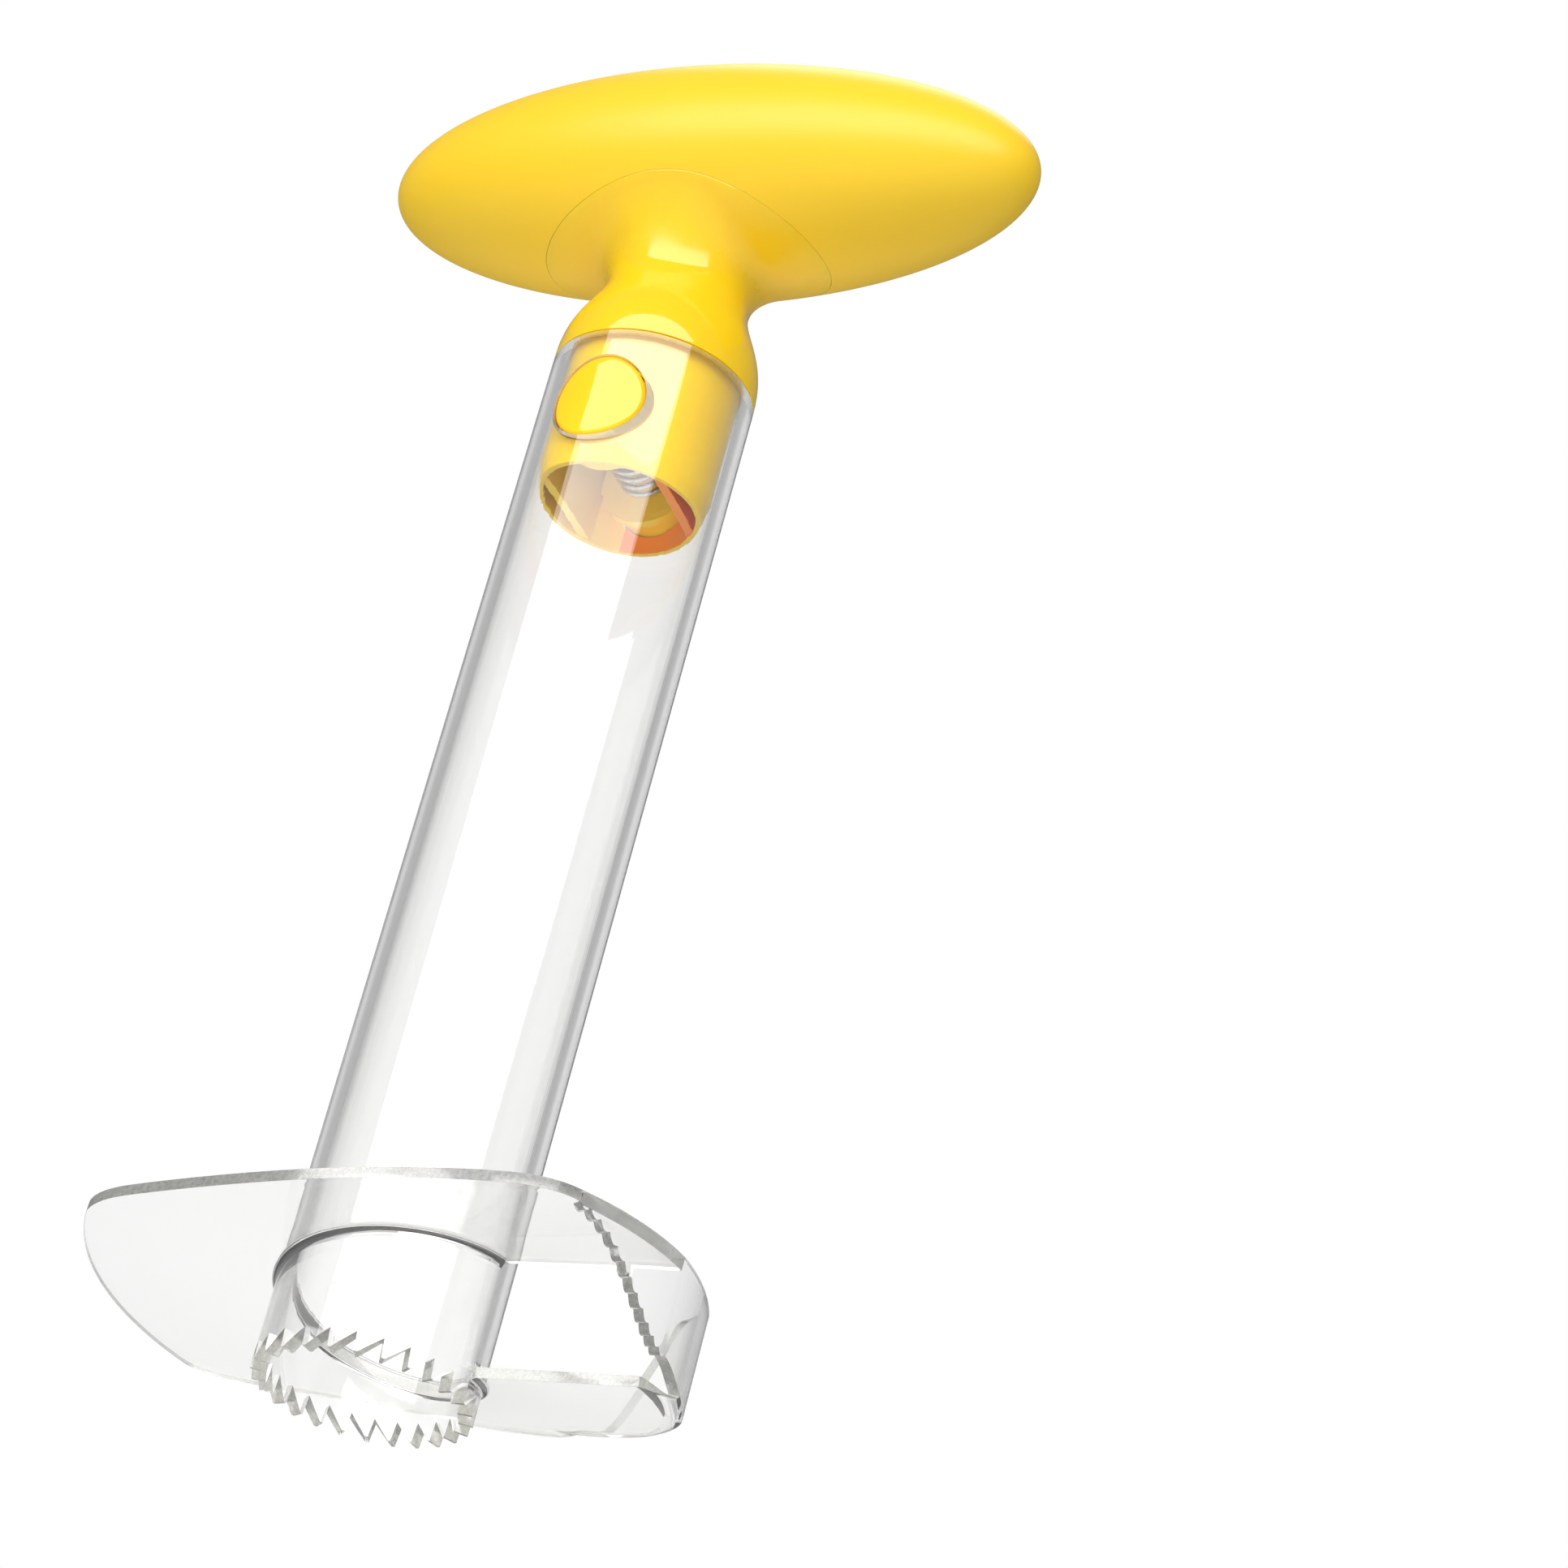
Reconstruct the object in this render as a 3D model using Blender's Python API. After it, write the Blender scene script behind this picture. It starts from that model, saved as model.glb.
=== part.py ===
"""Pineapple slicer, as one Blender object for each of its pieces.

A clear tube with saw teeth cores the fruit, a clear blade makes one turn of a helix around it, and a
yellow handle plugs into the top of the tube, where two sprung push buttons lock it.

Metres, +Z up. The tool stands on its saw teeth at z = 0 with the tube's axis on Z. The grip lies along
X, the buttons press along Y, and the blade's cutting edge and its tail both lie over +X.
"""

import math

import bmesh
import bpy
from mathutils import Matrix

# Fits
SEAT_GAP = 0.0003  # between pieces that seat on one another
SLEEVE_CLEARANCE = 0.0004  # sleeve inside the tube, on the radius
BUTTON_CLEARANCE = 0.0003  # button inside the sleeve's hole, on the radius
TUBE_HOLE_CLEARANCE = 0.0007  # button inside the tube's hole, on the radius
WEB_CLEARANCE = 0.0003  # button flange between the guide webs
OVERRUN = 0.002  # how far a cutter runs past what it cuts
WELD_DISTANCE = 0.000002  # points of two patches that are the same point

# Coring tube
TUBE_RADIUS = 0.0165
TUBE_WALL = 0.0022
TUBE_LENGTH = 0.1783
TOOTH_COUNT = 26
TOOTH_DEPTH = 0.003
TOOTH_LAND = 0.0005  # flat on each tooth tip
TOOTH_DROP = 0.0003  # width of a tooth's steep side
BUTTON_BELOW_RIM = 0.0126

# Spiral blade
BLADE_RADIUS = 0.0454
BLADE_PITCH = 0.0183
BLADE_THICKNESS = 0.0017
BLADE_RISE = 0.0041  # underside of the cutting edge above the tooth tips
NEAR_FLAT = 0.0323  # bowed flat sides of the blade's outline, from the axis
FAR_FLAT = 0.0256
FLAT_BOW_RADIUS = 0.16
OUTLINE_ROUNDING = 0.004  # between the flats and the round
EDGE_SWEEP_ANGLE = math.radians(13)  # the cutting edge trails back at its outer corner
EDGE_SWEEP_FADE = math.radians(36)
LIP_LENGTH = 0.0047  # strip along the rim that curls up into the wall
FAR_LIP_LENGTH = 0.0021  # it curls more tightly towards the far corner
LIP_FADE_ANGLE = math.radians(13)

# Scoop wall that joins the cutting edge to the tail
WALL_START_ANGLE = math.radians(-31)
WALL_SHOULDER_ANGLE = math.radians(28)
WALL_END_ANGLE = math.radians(39)
WALL_FOOT_Z = 0.0093  # where its serrated edge ends, above the cutting edge
SERRATION_COUNT = 12
SERRATION_DEPTH = 0.0007

# Handle stem: sleeve, flange, neck and saddle
SLEEVE_WALL = 0.0016
SLEEVE_LENGTH = 0.0239  # below the flange
LEAD_IN_HEIGHT = 0.0031
LEAD_IN_DEPTH = 0.0008
WEB_THICKNESS = 0.0015
WEB_SETBACK = 0.0004  # webs stop short of the sleeve's mouth
WEB_LAP = 0.0009  # webs run into the sleeve's wall
BORE_RISE = 0.0015  # sleeve bore above the flange
ROOF_THICKNESS = 0.003
WAIST_RADIUS = 0.0117
BELL_HEIGHT = 0.0177  # flange to waist
BELL_CURVE_SHARE = 1.35  # how long the bell stays full, 1 for a plain wave
NECK_WALL = 0.0032
FILLET_REACH = 0.0046  # waist to where the saddle meets the grip's form
FILLET_LIMIT_SHARE = 0.78
SADDLE_HALF_LENGTH = 0.0246
SADDLE_MARGIN = 0.0003  # how much wider than the tube the saddle is, on the radius
PLUG_RISE = 0.001  # saddle plug above the seam's highest point

# Grip
GRIP_HALF_LENGTH = 0.0572
GRIP_RADIUS = 0.0196
GRIP_WALL = 0.0025
GRIP_ABOVE_RIM = 0.0419  # grip's axis above the tube's rim

# Release buttons
BUTTON_RADIUS = 0.0075
BUTTON_EDGE = 0.0006
BUTTON_FLANGE_RADIUS = 0.0085
BUTTON_FLANGE_THICKNESS = 0.0015
BUTTON_BOSS_RADIUS = 0.003
BOSS_STOP_GAP = 0.0009  # from a pressed button's boss to the tube's axis
RELEASE_MARGIN = 0.0008  # travel left once a button is clear of the tube

# Button spring
WIRE_DIAMETER = 0.0009
SPRING_RADIUS = 0.0043
SPRING_TURNS = 6
POINTS_PER_TURN = 9

# Facets
LEAD_STEPS = 32
BLADE_STEPS = 56
SHEET_COLUMNS = 2
LIP_COLUMNS = 5
WALL_ROWS = 2
CORNER_STEPS = 4
LOBE_STEPS = 4
TUBE_COLUMNS_PER_TOOTH = 4
STEM_COLUMNS = 60
BELL_STEPS = 7
FILLET_STEPS = 5
SADDLE_STEPS = 2
BUTTON_COLUMNS = 32
FACE_SHARES = (0.25, 0.67)  # rings on a button's face
GRIP_AROUND = 40
GRIP_ALONG = 22
CUTTER_SIDES = 64

# Colours, as linear RGBA
CLEAR_PLASTIC = (0.86, 0.88, 0.87, 1.0)
GRIP_YELLOW = (0.93, 0.66, 0.035, 1.0)
GLOSS_YELLOW = (0.95, 0.68, 0.03, 1.0)
SPRING_STEEL = (0.56, 0.56, 0.55, 1.0)

# Places that follow from the sizes
TUBE_INNER_RADIUS = TUBE_RADIUS - TUBE_WALL
FLANGE_Z = TUBE_LENGTH + SEAT_GAP
SLEEVE_RADIUS = TUBE_INNER_RADIUS - SLEEVE_CLEARANCE
BORE_RADIUS = SLEEVE_RADIUS - SLEEVE_WALL
MOUTH_Z = FLANGE_Z - SLEEVE_LENGTH
ROOF_Z = FLANGE_Z + BORE_RISE
WAIST_Z = FLANGE_Z + BELL_HEIGHT
GRIP_Z = TUBE_LENGTH + GRIP_ABOVE_RIM
BUTTON_Z = TUBE_LENGTH - BUTTON_BELOW_RIM
SADDLE_HALF_WIDTH = TUBE_RADIUS + SADDLE_MARGIN
BLADE_INNER_RADIUS = TUBE_RADIUS + SEAT_GAP
BUTTON_TRAVEL = TUBE_WALL + RELEASE_MARGIN
FLANGE_SEAT = math.sqrt(BORE_RADIUS**2 - BUTTON_FLANGE_RADIUS**2) - SEAT_GAP
FLANGE_BACK = FLANGE_SEAT - BUTTON_FLANGE_THICKNESS
BOSS_END = BUTTON_TRAVEL + BOSS_STOP_GAP


# Shared tools


def clear_scene():
    for obj in list(bpy.data.objects):
        bpy.data.objects.remove(obj, do_unlink=True)


def material(name, color, roughness, metallic=0.0, transmission=0.0):
    """A Principled material."""
    mat = bpy.data.materials.new(name)
    mat.use_nodes = True
    shader = mat.node_tree.nodes["Principled BSDF"]
    shader.inputs["Base Color"].default_value = color
    shader.inputs["Roughness"].default_value = roughness
    shader.inputs["Metallic"].default_value = metallic
    shader.inputs["Transmission Weight"].default_value = transmission
    mat.diffuse_color = color
    return mat


def add_object(name, bm, mat=None):
    """Turn a bmesh into an object of the scene, smooth but for its sharp edges."""
    bmesh.ops.recalc_face_normals(bm, faces=bm.faces)
    mesh = bpy.data.meshes.new(name)
    bm.to_mesh(mesh)
    bm.free()
    mesh.shade_smooth()
    mesh.set_sharp_from_angle(angle=math.radians(35))
    obj = bpy.data.objects.new(name, mesh)
    bpy.context.scene.collection.objects.link(obj)
    if mat:
        mesh.materials.append(mat)
    return obj


def as_tool(obj):
    """Hide a cutter or a piece that a Boolean takes in."""
    obj.hide_render = True
    obj.display_type = "WIRE"
    return obj


def combine(obj, tool, operation):
    """Leave a Boolean modifier on obj."""
    modifier = obj.modifiers.new(tool.name, "BOOLEAN")
    modifier.operation = operation
    modifier.solver = "EXACT"
    modifier.object = as_tool(tool)


def loft(rings, ends="caps"):
    """Skin closed rings of equal length. The ends are capped, or the last ring joins the first."""
    bm = bmesh.new()
    loops = [[bm.verts.new(point) for point in ring] for ring in rings]
    pairs = list(zip(loops, loops[1:]))
    if ends == "joined":
        pairs.append((loops[-1], loops[0]))
    for first, second in pairs:
        for i in range(len(first)):
            j = (i + 1) % len(first)
            bm.faces.new((first[i], first[j], second[j], second[i]))
    if ends == "caps":
        bm.faces.new(loops[0])
        bm.faces.new(list(reversed(loops[-1])))
    return bm


def weld(patches):
    """Join patches, each a grid of points, where their edges meet."""
    bm = bmesh.new()
    for grid in patches:
        rows = [[bm.verts.new(point) for point in row] for row in grid]
        for first, second in zip(rows, rows[1:]):
            for i in range(len(first) - 1):
                bm.faces.new((first[i], first[i + 1], second[i + 1], second[i]))
    bmesh.ops.remove_doubles(bm, verts=bm.verts, dist=WELD_DISTANCE)
    return bm


def ring(radius, z, angles):
    return [(radius * math.cos(a), radius * math.sin(a), z) for a in angles]


def even_angles(count):
    return [2 * math.pi * i / count for i in range(count)]


def smooth_step(value):
    t = min(max(value, 0.0), 1.0)
    return t * t * (3 - 2 * t)


def smooth_min(a, b, rounding):
    """The lesser of two lengths, rounded off where they are about equal."""
    overlap = max(rounding - abs(a - b), 0.0)
    return min(a, b) - overlap * overlap / (4 * rounding)


def cross_cutter(name, radius, half_length):
    """A round cutter along Y at the height of the buttons."""
    bm = bmesh.new()
    placed = Matrix.Translation((0, 0, BUTTON_Z)) @ Matrix.Rotation(math.pi / 2, 4, "X")
    bmesh.ops.create_cone(
        bm,
        cap_ends=True,
        segments=CUTTER_SIDES,
        radius1=radius,
        radius2=radius,
        depth=2 * half_length,
        matrix=placed,
    )
    return add_object(name, bm)


# Coring tube


def tooth_columns():
    """Angle and height of the tube's lower edge: a land, a long ramp up, then a steep drop."""
    pitch = 2 * math.pi / TOOTH_COUNT
    land = TOOTH_LAND / TUBE_RADIUS
    drop = TOOTH_DROP / TUBE_RADIUS
    ramps = TUBE_COLUMNS_PER_TOOTH - 2
    columns = []
    for tooth in range(TOOTH_COUNT):
        start = tooth * pitch
        columns.append((start, 0.0))
        for step in range(ramps + 1):
            share = step / ramps
            angle = start + land + share * (pitch - land - drop)
            columns.append((angle, share * TOOTH_DEPTH))
    return columns


def build_core_tube(mat):
    columns = tooth_columns()
    angles = [angle for angle, height in columns]

    def toothed(radius):
        return [(radius * math.cos(a), radius * math.sin(a), h) for a, h in columns]

    bm = loft(
        [
            toothed(TUBE_RADIUS),
            ring(TUBE_RADIUS, TUBE_LENGTH, angles),
            ring(TUBE_INNER_RADIUS, TUBE_LENGTH, angles),
            toothed(TUBE_INNER_RADIUS),
        ],
        ends="joined",
    )
    tube = add_object("core_tube", bm, mat)
    hole_radius = BUTTON_RADIUS + TUBE_HOLE_CLEARANCE
    cutter = cross_cutter("tube_button_holes", hole_radius, TUBE_RADIUS + OVERRUN)
    combine(tube, cutter, "DIFFERENCE")


# Spiral blade


def helix_z(angle):
    """Underside of the blade."""
    return BLADE_RISE + BLADE_PITCH * angle / (2 * math.pi)


def bowed_side(angle, flat, side):
    """Distance from the axis to a bowed flat side of the outline, in the direction of the angle."""
    centre = side * (flat - FLAT_BOW_RADIUS)
    along = centre * math.sin(angle)
    return along + math.sqrt(along * along - centre * centre + FLAT_BOW_RADIUS**2)


def outline_radius(angle):
    """The blade's outline: a circle with two bowed flats."""
    near = bowed_side(angle, NEAR_FLAT, -1)
    far = bowed_side(angle, FAR_FLAT, 1)
    radius = smooth_min(BLADE_RADIUS, near, OUTLINE_ROUNDING)
    return smooth_min(radius, far, OUTLINE_ROUNDING)


def swept_angle(station, lip_share):
    """Stations near the cutting edge trail back across the lip."""
    fade = 1 - smooth_step(station / EDGE_SWEEP_FADE)
    return station + fade * EDGE_SWEEP_ANGLE * smooth_step(lip_share)


def lip_curl(angle):
    """How far the rim curls up: a quarter turn under the scoop wall, fading to none behind it."""
    fade = (angle - WALL_END_ANGLE) / LIP_FADE_ANGLE
    return math.pi / 2 * (1 - smooth_step(fade))


def lip_length(angle):
    """Width of the strip that curls, which shrinks from the cutting edge to the far corner."""
    shrunk = smooth_step(angle / WALL_SHOULDER_ANGLE)
    return LIP_LENGTH + shrunk * (FAR_LIP_LENGTH - LIP_LENGTH)


def lip_shares(curl, length):
    """Columns of the lip: even where it curls, with one at the wall's inner face where it is flat."""
    inner_face_share = 1 - BLADE_THICKNESS / length
    flatness = 1 - curl / (math.pi / 2)
    shares = []
    for column in range(1, LIP_COLUMNS):
        even = column / LIP_COLUMNS
        flat = inner_face_share * column / (LIP_COLUMNS - 1)
        shares.append(even + flatness * (flat - even))
    return shares + [1.0]


def sheet_rows(station):
    """Points across the blade from hub to rim, on its top and on its underside."""
    rim_angle = swept_angle(station, 1)
    curl = lip_curl(rim_angle)
    length = lip_length(rim_angle)
    half = BLADE_THICKNESS / 2
    bend = length / curl if curl > 0 else 0.0
    reach = (bend + half) * math.sin(curl) if curl > 0 else length
    lip_start = outline_radius(rim_angle) - reach
    profile = []
    for column in range(SHEET_COLUMNS + 1):
        radius = BLADE_INNER_RADIUS + column / SHEET_COLUMNS * (lip_start - BLADE_INNER_RADIUS)
        profile.append((radius, 0.0, 0.0, station))
    for share in lip_shares(curl, length):
        angle = swept_angle(station, share)
        turned = share * curl
        if curl > 0:
            across = bend * math.sin(turned)
            rise = bend * (1 - math.cos(turned))
            profile.append((lip_start + across, rise, turned, angle))
        else:
            profile.append((lip_start + share * length, 0.0, 0.0, angle))
    upper = []
    lower = []
    for radius, rise, turned, angle in profile:
        for row, offset in ((upper, half), (lower, -half)):
            r = radius - offset * math.sin(turned)
            z = helix_z(angle) + half + rise + offset * math.cos(turned)
            row.append((r * math.cos(angle), r * math.sin(angle), z))
    return upper, lower


def foot_z(angle):
    """The scoop wall's free lower edge: serrated down a slant, then along to the curled corner."""
    corner = EDGE_SWEEP_ANGLE
    corner_z = helix_z(corner) + BLADE_THICKNESS / 2 + lip_length(corner) / (math.pi / 2)
    if angle > 0:
        return WALL_FOOT_Z + (corner_z - WALL_FOOT_Z) * smooth_step(angle / corner)
    share = 1 - angle / WALL_START_ANGLE
    start_z = helix_z(WALL_START_ANGLE + 2 * math.pi)
    lobe = SERRATION_DEPTH * abs(math.sin(math.pi * SERRATION_COUNT * share))
    return start_z + (WALL_FOOT_Z - start_z) * smooth_step(share) - lobe


def crest_height(angle, foot):
    """Height of the scoop wall behind the tail: level along its top, then down to nothing."""
    level = helix_z(2 * math.pi) + BLADE_THICKNESS
    drop = (angle - WALL_SHOULDER_ANGLE) / (WALL_END_ANGLE - WALL_SHOULDER_ANGLE)
    return (level - foot) * (1 - smooth_step(drop))


def rim_point(angle, inset, z):
    radius = outline_radius(angle) - inset
    return (radius * math.cos(angle), radius * math.sin(angle), z)


def wall_line(foot, height, ledge):
    """Points down the wall to its foot: its crest, the level of the tail's underside, then even steps."""
    x, y, z = foot
    steps = [ledge * (1 - step / WALL_ROWS) for step in range(WALL_ROWS + 1)]
    return [(x, y, z + rise) for rise in [height] + steps]


def wall_lines(slant, upper, lower):
    """The wall's outer and inner lines at each station, and how many of them have a free foot."""
    outer = []
    inner = []
    for angle in slant:
        foot = foot_z(angle)
        ledge = helix_z(2 * math.pi + angle) - foot
        for lines, inset in ((outer, 0.0), (inner, BLADE_THICKNESS)):
            lines.append(wall_line(rim_point(angle, inset, foot), ledge + BLADE_THICKNESS, ledge))
    ledge_share = ledge / (ledge + BLADE_THICKNESS)
    for step in range(1, CORNER_STEPS):
        angle = EDGE_SWEEP_ANGLE * step / CORNER_STEPS
        foot = foot_z(angle)
        height = crest_height(angle, foot)
        for lines, inset in ((outer, 0.0), (inner, BLADE_THICKNESS)):
            lines.append(wall_line(rim_point(angle, inset, foot), height, height * ledge_share))
    free = len(outer) + 1
    for up, low in zip(upper, lower):
        angle = math.atan2(low[-1][1], low[-1][0])
        height = crest_height(angle, low[-1][2])
        for lines, foot in ((outer, low[-1]), (inner, up[-1])):
            lines.append(wall_line(foot, height, height * ledge_share))
        if angle >= WALL_END_ANGLE:
            break
    return outer, inner, free


def build_spiral_blade(mat):
    """One turn of the helix, with the scoop wall grown from its rim, as one skin of joined patches."""
    turn = 2 * math.pi
    slant_steps = LOBE_STEPS * SERRATION_COUNT
    slant = [WALL_START_ANGLE * (1 - step / slant_steps) for step in range(slant_steps + 1)]
    lead = 2 * EDGE_SWEEP_FADE
    plain = [lead * step / LEAD_STEPS for step in range(LEAD_STEPS)]
    rest = turn + WALL_START_ANGLE - lead
    plain += [lead + rest * step / BLADE_STEPS for step in range(BLADE_STEPS)]
    rows = [sheet_rows(station) for station in plain + [turn + angle for angle in slant]]
    upper = [row[0] for row in rows]
    lower = [row[1] for row in rows]
    outer, inner, free = wall_lines(slant, upper, lower)
    tail = slant_steps
    wall_row = len(plain)
    wall_last = len(outer) - free
    inner_face = SHEET_COLUMNS + LIP_COLUMNS

    patches = [
        upper,
        lower[: wall_row + 1],
        [row[:inner_face] for row in lower[wall_row:]],
        [(up[0], low[0]) for up, low in rows],
        [upper[0], lower[0]],
        [upper[-1][:inner_face], lower[-1][:inner_face]],
        [(up[-1], low[-1]) for up, low in rows[wall_last : wall_row + 1]],
        outer,
        [line[1:] for line in inner[: tail + 1]],
        inner[tail:],
        [(a[0], b[0]) for a, b in zip(inner[tail:], outer[tail:])],
        [(a[-1], b[-1]) for a, b in zip(inner[:free], outer[:free])],
    ]
    add_object("spiral_blade", weld(patches), mat)


# Handle stem


def grip_height(x, y, side):
    """Height of the grip's form over a point in plan, above its axis or below it."""
    inside = 1 - (x / GRIP_HALF_LENGTH) ** 2 - (y / GRIP_RADIUS) ** 2
    return GRIP_Z + side * GRIP_RADIUS * math.sqrt(max(inside, 0.0))


def saddle_radius(angle, grow=0.0):
    """The seam in plan is an ellipse: its distance from the axis."""
    a = SADDLE_HALF_LENGTH + grow
    b = SADDLE_HALF_WIDTH + grow
    return a * b / math.hypot(b * math.cos(angle), a * math.sin(angle))


def plug_top_z():
    return grip_height(0, SADDLE_HALF_WIDTH, -1) + PLUG_RISE


def neck_fillet(angle):
    """Hollow curve from the waist up to the underside of the grip's form."""
    seam = saddle_radius(angle)
    reach = min(FILLET_REACH, FILLET_LIMIT_SHARE * (seam - WAIST_RADIUS))
    end_r = WAIST_RADIUS + reach
    cosine = math.cos(angle)
    sine = math.sin(angle)
    end_z = grip_height(end_r * cosine, end_r * sine, -1)
    span = reach / 2
    slope = (grip_height((end_r + span) * cosine, (end_r + span) * sine, -1) - end_z) / span
    knee_z = max(end_z - slope * reach, WAIST_Z)
    points = []
    for step in range(FILLET_STEPS + 1):
        t = step / FILLET_STEPS
        u = 1 - t
        radius = (u * u + 2 * u * t) * WAIST_RADIUS + t * t * end_r
        z = u * u * WAIST_Z + 2 * u * t * knee_z + t * t * end_z
        points.append((radius, z))
    return points


def stem_rings():
    """Rings of the stem: up the outside from the sleeve's bore, over the saddle, down its pocket."""
    angles = even_angles(STEM_COLUMNS)
    pocket_radius = WAIST_RADIUS - NECK_WALL
    rings = [
        ring(BORE_RADIUS, ROOF_Z, angles),
        ring(BORE_RADIUS, MOUTH_Z, angles),
        ring(SLEEVE_RADIUS - LEAD_IN_DEPTH, MOUTH_Z, angles),
        ring(SLEEVE_RADIUS, MOUTH_Z + LEAD_IN_HEIGHT, angles),
        ring(SLEEVE_RADIUS, FLANGE_Z, angles),
    ]
    for step in range(BELL_STEPS):
        share = step / BELL_STEPS
        swell = (1 + math.cos(math.pi * share**BELL_CURVE_SHARE)) / 2
        radius = WAIST_RADIUS + swell * (TUBE_RADIUS - WAIST_RADIUS)
        rings.append(ring(radius, FLANGE_Z + share * BELL_HEIGHT, angles))
    fillets = [neck_fillet(angle) for angle in angles]
    for step in range(FILLET_STEPS + 1):
        level = []
        for angle, fillet in zip(angles, fillets):
            radius, z = fillet[step]
            level.append((radius * math.cos(angle), radius * math.sin(angle), z))
        rings.append(level)
    for step in range(1, SADDLE_STEPS + 1):
        level = []
        for angle, fillet in zip(angles, fillets):
            start = fillet[-1][0]
            radius = start + step / SADDLE_STEPS * (saddle_radius(angle) - start)
            x = radius * math.cos(angle)
            y = radius * math.sin(angle)
            level.append((x, y, grip_height(x, y, -1)))
        rings.append(level)
    top_z = plug_top_z()
    rings.append([(x, y, top_z) for x, y, z in rings[-1]])
    rings.append(ring(pocket_radius, top_z, angles))
    rings.append(ring(pocket_radius, ROOF_Z + ROOF_THICKNESS, angles))
    return rings


def build_guide_web(side):
    """A flat web across the sleeve's bore, beside the buttons."""
    reach = BORE_RADIUS + WEB_LAP
    inner_x = BUTTON_FLANGE_RADIUS + WEB_CLEARANCE
    outer_x = inner_x + WEB_THICKNESS
    inner_y = math.sqrt(reach**2 - inner_x**2)
    outer_y = math.sqrt(reach**2 - outer_x**2)
    corners = [
        (side * inner_x, -inner_y),
        (side * outer_x, -outer_y),
        (side * outer_x, outer_y),
        (side * inner_x, inner_y),
    ]
    levels = (MOUTH_Z + WEB_SETBACK, ROOF_Z + ROOF_THICKNESS / 2)
    rings = [[(x, y, z) for x, y in corners] for z in levels]
    name = "guide_web_left" if side < 0 else "guide_web_right"
    return add_object(name, loft(rings))


def build_handle_stem(mat):
    stem = add_object("handle_stem", loft(stem_rings()), mat)
    for side in (-1, 1):
        combine(stem, build_guide_web(side), "UNION")
    hole_radius = BUTTON_RADIUS + BUTTON_CLEARANCE
    cutter = cross_cutter("sleeve_button_holes", hole_radius, SLEEVE_RADIUS + OVERRUN)
    combine(stem, cutter, "DIFFERENCE")


# Grip


def build_grip_shell(mat):
    """An ellipsoid shell, cut open below for the saddle."""
    bm = bmesh.new()
    form = (
        Matrix.Translation((0, 0, GRIP_Z))
        @ Matrix.Diagonal((GRIP_HALF_LENGTH, GRIP_RADIUS, GRIP_RADIUS, 1))
        @ Matrix.Rotation(math.pi / 2, 4, "Y")
    )
    bmesh.ops.create_uvsphere(bm, u_segments=GRIP_AROUND, v_segments=GRIP_ALONG, radius=1, matrix=form)
    grip = add_object("grip_shell", bm, mat)
    shell = grip.modifiers.new("shell", "SOLIDIFY")
    shell.thickness = GRIP_WALL
    shell.offset = -1
    shell.use_even_offset = True

    angles = even_angles(STEM_COLUMNS)
    levels = (FLANGE_Z, plug_top_z() + SEAT_GAP)
    outline = [(saddle_radius(a, SEAT_GAP), a) for a in angles]
    rings = [[(r * math.cos(a), r * math.sin(a), z) for r, a in outline] for z in levels]
    combine(grip, add_object("saddle_opening", loft(rings)), "DIFFERENCE")


# Release buttons


def build_button(name, side, mat):
    """A round button with a face that continues the tube's surface, a flange and a spring boss.

    Its local Y runs outward, and its origin is on the buttons' axis, where the tube's axis crosses it.
    """
    angles = even_angles(BUTTON_COLUMNS)

    def face(radius, below=0.0):
        points = []
        for angle in angles:
            x = radius * math.cos(angle)
            points.append((x, math.sqrt(TUBE_RADIUS**2 - x * x) - below, radius * math.sin(angle)))
        return points

    def plain(radius, y):
        return [(radius * math.cos(a), y, radius * math.sin(a)) for a in angles]

    bm = loft(
        [
            face(BUTTON_RADIUS * FACE_SHARES[0]),
            face(BUTTON_RADIUS * FACE_SHARES[1]),
            face(BUTTON_RADIUS - BUTTON_EDGE),
            face(BUTTON_RADIUS, BUTTON_EDGE),
            plain(BUTTON_RADIUS, FLANGE_SEAT),
            plain(BUTTON_FLANGE_RADIUS, FLANGE_SEAT),
            plain(BUTTON_FLANGE_RADIUS, FLANGE_BACK),
            plain(BUTTON_BOSS_RADIUS, FLANGE_BACK),
            plain(BUTTON_BOSS_RADIUS, BOSS_END),
        ]
    )
    button = add_object(name, bm, mat)
    button.location = (0, 0, BUTTON_Z)
    if side < 0:
        button.rotation_euler = (0, 0, math.pi)


# Button spring


def spring_points():
    """A coil along Y between the buttons' flanges. Each end runs straight into its flange."""
    reach = FLANGE_BACK - SEAT_GAP
    coil_half = reach - WIRE_DIAMETER
    steps = SPRING_TURNS * POINTS_PER_TURN
    points = [(SPRING_RADIUS, -reach, 0.0)]
    for step in range(steps + 1):
        share = step / steps
        angle = 2 * math.pi * SPRING_TURNS * share
        y = -coil_half + 2 * coil_half * share
        points.append((SPRING_RADIUS * math.cos(angle), y, SPRING_RADIUS * math.sin(angle)))
    points.append((SPRING_RADIUS, reach, 0.0))
    return points


def least_coil_gap(points):
    """Smallest air gap between stretches of the coil that are half a turn or more apart."""
    least = math.inf
    apart = POINTS_PER_TURN // 2
    for i, first in enumerate(points):
        for second in points[i + apart + 1 :]:
            least = min(least, math.dist(first, second))
    return least - WIRE_DIAMETER


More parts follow.
